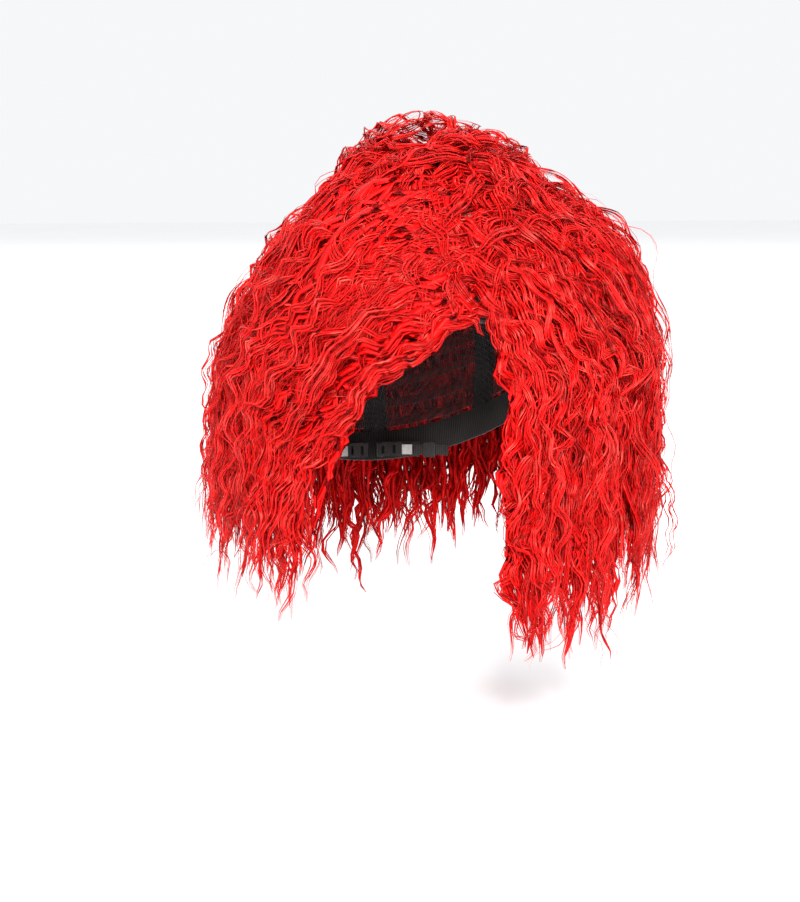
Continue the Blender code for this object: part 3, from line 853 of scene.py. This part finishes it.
def soften(node, material, name):
    """A cloth copy of a CAD node, with the size of its flat cut and its seam line."""
    solid, outer, rim, cut = read_solid(node)
    seam = []
    for edge in rim:
        inner_face = next(f for f in edge.link_faces if f in outer)
        wall = next((f for f in edge.link_faces if f not in outer), inner_face)
        inward = wall.normal - inner_face.normal * wall.normal.dot(inner_face.normal)
        seam.append(([v.co.copy() for v in edge.verts], -inward.normalized(), inner_face.normal.copy()))
    mesh = bpy.data.meshes.new(name)
    solid.to_mesh(mesh)
    solid.free()
    obj = bpy.data.objects.new(name, mesh)
    scene.collection.objects.link(obj)
    bevel = obj.modifiers.new("Folded edge", "BEVEL")
    bevel.width, bevel.segments = CLOTH_EDGE, 2
    bevel.limit_method, bevel.angle_limit = "ANGLE", FOLD_ANGLE
    soft = settle(obj)
    soft.materials.clear()
    soft.materials.append(material)
    soft.shade_smooth()
    soft.set_sharp_from_angle(angle=CREASE_ANGLE)
    return obj, cut, seam


# %% Cut every cloth piece
SHEET_LEAST = 10 * MM
SUBPARTS = frame["record"]["subparts"]
PLASTIC_NODES = [s["node"] for s in SUBPARTS if s["material_slot"] == "clear_plastic"]
seams, cuts = {}, {}


for sub in SUBPARTS:
    node, slot = sub["node"], sub["material_slot"]
    if slot not in CLOTH or slot == "net_black":
        continue
    obj, (width, length), seams[node] = soften(node, CLOTH[slot], node + "_cloth")
    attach(obj, bpy.data.objects[node]["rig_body"])
    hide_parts(node)
    if slot != "weft_red" and width >= SHEET_LEAST:
        cuts[node] = (round(width / MM, 1), round(length / MM, 1))
print("cut sizes, mm:", cuts)

# %% [markdown]
# ## Stitches and fibre heads, with Geometry Nodes
# A seam is a row of short beads of thread, and a weft's upright fibre heads are the same thing
# turned across the line. One tree makes both: it sets a bead at every pitch of a line and
# turns it along or across. It takes the outer edge of a piece, moved in by the seam's margin.

# %% Build the stitch tree
def float_sizes(**sizes):
    return [(name.replace("_", " "), "Float", value) for name, value in sizes.items()]


def build_stitch_tree():
    sizes = float_sizes(Pitch=0.0026, Length=0.0019, Thread=0.00028, Turn=0.0)
    tree = Tree("stitch row", "Lines", sizes, "Material")
    given = tree.given
    spots = tree.add("GeometryNodeCurveToPoints", {"mode": "LENGTH"}, Curve=tree.lines, Length=given["Pitch"])
    along = spots.outputs["Tangent"]
    across = tree.vector("CROSS_PRODUCT", along, tree.attribute("away", "FLOAT_VECTOR"))
    ahead = tree.vector("SCALE", along, tree.math("SUBTRACT", 1.0, given["Turn"]))
    facing = tree.vector("ADD", ahead, tree.vector("SCALE", across, given["Turn"]))
    turned = tree.add("FunctionNodeAlignRotationToVector", {"axis": "Z"}, Vector=facing)
    bead = tree.add("GeometryNodeMeshUVSphere", Segments=5, Rings=3)
    half = tree.times(given["Length"], 0.5)
    size = tree.add("ShaderNodeCombineXYZ", X=given["Thread"], Y=given["Thread"], Z=half)
    row = tree.add(
        "GeometryNodeInstanceOnPoints", Points=spots.outputs["Points"], Instance=bead.outputs["Mesh"],
        Rotation=turned.outputs[0], Scale=size.outputs[0],
    )
    return tree.finish(row.outputs[0])


stitch_tree = build_stitch_tree()
SAME_SPOT = 0.05 * MM


def sew(name, nodes, margin, lift, settings, wanted=None):
    """Beads along the outer edges of these nodes, moved in by the margin and out by the lift."""
    points, edges, away, places = [], [], [], {}
    for node in nodes:
        for ends, inward, normal in seams[node]:
            if wanted and not wanted(inward):
                continue
            pair = []
            for end in ends:
                key = (node, *(round(c / SAME_SPOT) for c in end))
                if key not in places:
                    places[key] = len(points)
                    points.append(end + inward * margin + normal * lift)
                    away.append(normal)
                pair.append(places[key])
            edges.append(pair)
    mesh = line_mesh(name, np.array(points), np.array(edges), np.array(away), {})
    return run_tree(name, stitch_tree, mesh, settings)


# %% Sew the bands, tapes and tabs
cap_cloth = [
    n for n in seams
    if bpy.data.objects[n]["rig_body"] == "cap"
    and not n.startswith(("weft_row", "strap_keeper", "hook_tape"))
]


def stitch(pitch, length, thread, material, turn=0.0):
    """The stitch tree's inputs, with sizes in millimetres."""
    return {
        "Pitch": pitch * MM, "Length": length * MM, "Thread": thread * MM, "Turn": turn,
        "Material": material,
    }


STITCH = stitch(2.6, 2.0, 0.26, thread_black)
stitching = sew("cap_stitching", cap_cloth, 1.4 * MM, 0.05 * MM, STITCH)
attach(stitching, "cap")
for side in ("left", "right"):
    for part, body in (("ear_tab_" + side, "ear_tab_" + side), ("adjusting_strap_" + side, "strap_" + side)):
        obj = sew(part + "_stitching", [part], 1.2 * MM, 0.05 * MM, STITCH)
        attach(obj, body)

# %% [markdown]
# ## Wefts
# A machine weft is a flat track: hundreds of fibres are folded over a cord and locked by
# parallel rows of stitches. From inside the cap they show as red ribbed lines. The upright
# ribs are beads turned across the track, and one row of thread runs over them.

# %% Fibre heads on the wefts
wefts = [n for n in seams if n.startswith("weft_row")]
HEADS = stitch(2.0, 4.2, 0.55, CLOTH["weft_red"], turn=1.0)
LOCKSTITCH = stitch(3.0, 2.1, 0.24, thread_red)


def upwards(inward):
    """Only the lower edge of a track is sewn, where inwards is up."""
    return inward.z > 0.3


for name, margin, lift, settings in (
    ("weft_heads", 2.2 * MM, 0.1 * MM, HEADS),
    ("weft_lockstitch", 1.4 * MM, 0.55 * MM, LOCKSTITCH),
):
    obj = sew(name, wefts, margin, lift, settings, upwards)
    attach(obj, "cap")

# %% [markdown]
# ## The net
# The cap's panels are knitted net, a lattice of slanting threads. It could be a transparent
# pattern on a plain shell, but a real lattice lets the red roots show through and can be
# exported. Two families of lines are ruled on a flat disc of the same area as the cap, the disc
# is wrapped over the cap, and each panel keeps the lines that lie on it.

# %% Rule the net's lines
NET_PITCH = 2.2 * MM
NET_STEP = 3.0 * MM
NET_INSET = 0.3 * MM
DISC_RADIUS = 168 * MM
# The disc would close under the cap at 1, and its lines stop short of that.
DISC_EDGE = 0.97


def net_lines():
    """Points of the two families on the cap, as one array for each line."""
    offsets = np.arange(-DISC_RADIUS, DISC_RADIUS, NET_PITCH)
    run = np.arange(-DISC_RADIUS, DISC_RADIUS, NET_STEP)
    lines = []
    for family in (-1, 1):
        for offset in offsets:
            u = (run + family * offset) / math.sqrt(2)
            v = (offset - family * run) / math.sqrt(2)
            reach = np.hypot(u, v) / (2 * CAP_HALF.mean())
            near = reach < DISC_EDGE
            if near.sum() < 2:
                continue
            tilt, turn = 2 * np.arcsin(reach[near]), np.arctan2(v[near], u[near])
            flat = np.sin(tilt)
            ball = np.stack([flat * np.cos(turn), flat * np.sin(turn), np.cos(tilt)], axis=-1)
            lines.append(ball * (CAP_HALF - NET_INSET))
    return lines


def build_net_tree():
    sizes = float_sizes(Thread=0.00033, Weave_Height=0.00012, Weave_Length=0.0044)
    tree = Tree("net thread", "Lines", sizes, "Material")
    given = tree.given
    run = tree.add("GeometryNodeSplineParameter").outputs["Length"]
    turn = tree.times(tree.math("DIVIDE", run, given["Weave Length"]), 2 * math.pi)
    rise = tree.times(tree.math("SINE", turn), given["Weave Height"])
    shift = tree.vector("SCALE", tree.attribute("away", "FLOAT_VECTOR"), rise)
    woven = tree.add("GeometryNodeSetPosition", Geometry=tree.lines, Offset=shift)
    ring = tree.add("GeometryNodeCurvePrimitiveCircle", Resolution=3, Radius=given["Thread"])
    swept = tree.add(
        "GeometryNodeCurveToMesh", Curve=woven.outputs[0], Profile_Curve=ring.outputs[0], Fill_Caps=True
    )
    return tree.finish(swept.outputs[0])


# %% Knit each panel
net_tree = build_net_tree()
ruled = net_lines()
ruled_points = np.concatenate(ruled)
ruled_edges, first = [], 0
for line in ruled:
    ruled_edges += [(first + i, first + i + 1) for i in range(len(line) - 1)]
    first += len(line)
ruled_edges = np.array(ruled_edges)
ruled_away = ruled_points / CAP_HALF**2
ruled_away /= np.linalg.norm(ruled_away, axis=-1, keepdims=True)
NET_REACH, NET_THREAD = 1.0 * MM, 0.33 * MM
for node in NET_PANELS:
    panel, outer, rim, (width, length) = read_solid(node)
    skin = BVHTree.FromBMesh(panel)
    panel.free()
    near = np.array([skin.find_nearest(p, NET_REACH)[0] is not None for p in ruled_points])
    kept = ruled_edges[near[ruled_edges].all(axis=1)]
    used, at = np.unique(kept, return_inverse=True)
    mesh = line_mesh(node + "_lines", ruled_points[used], at.reshape(-1, 2), ruled_away[used], {})
    net = run_tree(node + "_lattice", net_tree, mesh, {"Material": CLOTH["net_black"], "Thread": NET_THREAD})
    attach(net, "cap")
    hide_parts(node)
    print(f"{node}: flat cut {width / MM:.0f} x {length / MM:.0f} mm")

# %% [markdown]
# ## Frosted plastic
# The strap hooks and the stays in the ear tabs are small clear mouldings with a frosted skin.
# Their solids have the right shape already, so they stay and only get the material.

# %% Hooks and stays
paint = Paint("frosted plastic")
grain = paint.noise(500.0, 3.0)
color = paint.ramp(grain, [(0.3, (0.62, 0.62, 0.6)), (0.7, (0.8, 0.8, 0.79))])
haze = paint.math("MULTIPLY_ADD", grain, 0.25, 0.2)
paint.set(Base_Color=color, Roughness=haze, Transmission_Weight=0.35)
paint.bump(grain, 0.2, 0.05 * MM)
for node in PLASTIC_NODES:
    for place in bpy.data.objects[node].material_slots:
        place.material = paint.material
print("plastic:", ", ".join(PLASTIC_NODES))

# %% [markdown]
# ## Floor, camera and light
# The wig floats at head height over a pale floor that runs out of sight. The camera is level
# with the wearer's eyes and a little to their right. A soft key comes from the front, two fills
# open the sides, and a weak lamp behind lifts the top edge.

# %% The studio
FLOOR_Z, FLOOR_HALF = -0.2, 20
corners = [(x * FLOOR_HALF, y * FLOOR_HALF, FLOOR_Z) for x, y in ((-1, -1), (1, -1), (1, 1), (-1, 1))]
floor_mesh = bpy.data.meshes.new("floor")
floor_mesh.from_pydata(corners, [], [(0, 1, 2, 3)])
floor = bpy.data.objects.new("floor", floor_mesh)
scene.collection.objects.link(floor)
paint = Paint("pale floor")
tint = paint.ramp(paint.noise(3.0, 2.0), [(0.3, (0.92, 0.92, 0.92)), (0.7, (0.94, 0.94, 0.94))])
paint.set(Base_Color=tint, Roughness=0.8)
floor_mesh.materials.append(paint.material)


def face(obj, place, target):
    """Puts a lamp or the camera at a place, turned to a target."""
    obj.location = place
    obj.rotation_mode = "QUATERNION"
    obj.rotation_quaternion = (target - place).to_track_quat("-Z", "Y")
    scene.collection.objects.link(obj)


AZIMUTH, ELEVATION, DISTANCE = math.radians(-18), math.radians(6), 1.455
AIM_LEFT, AIM_DOWN = 8.7, 46.4
level = math.cos(ELEVATION)
back = Vector((math.sin(AZIMUTH) * level, -math.cos(AZIMUTH) * level, math.sin(ELEVATION)))
right = Vector((math.cos(AZIMUTH), math.sin(AZIMUTH), 0))
target = -right * AIM_LEFT * MM - right.cross(-back) * AIM_DOWN * MM
lens = bpy.data.cameras.new("camera")
lens.lens, lens.sensor_width = 100, 36
camera = bpy.data.objects.new("camera", lens)
face(camera, target + back * DISTANCE, target)
scene.camera = camera

LAMPS = {
    "key": ((-2.25, -8.5, 4.0), 1.75, 1250),
    "fill_left": ((-9.0, -4.5, 2.0), 2.5, 400),
    "fill_right": ((9.0, -3.0, 2.5), 2.5, 400),
    "back_top": ((1.0, 8.0, 7.0), 6.0, 200),
}
for name, (place, size, power) in LAMPS.items():
    lamp = bpy.data.lights.new(name, "AREA")
    lamp.size, lamp.energy = size, power
    face(bpy.data.objects.new(name, lamp), Vector(place), Vector((0, 0, 0)))
world = bpy.data.worlds.new("world")
scene.world = world
world.use_nodes = True
sky = world.node_tree.nodes["Background"].inputs
sky["Color"].default_value = (0.97, 0.98, 1.0, 1)
sky["Strength"].default_value = 0.95
scene.view_settings.view_transform = "Standard"
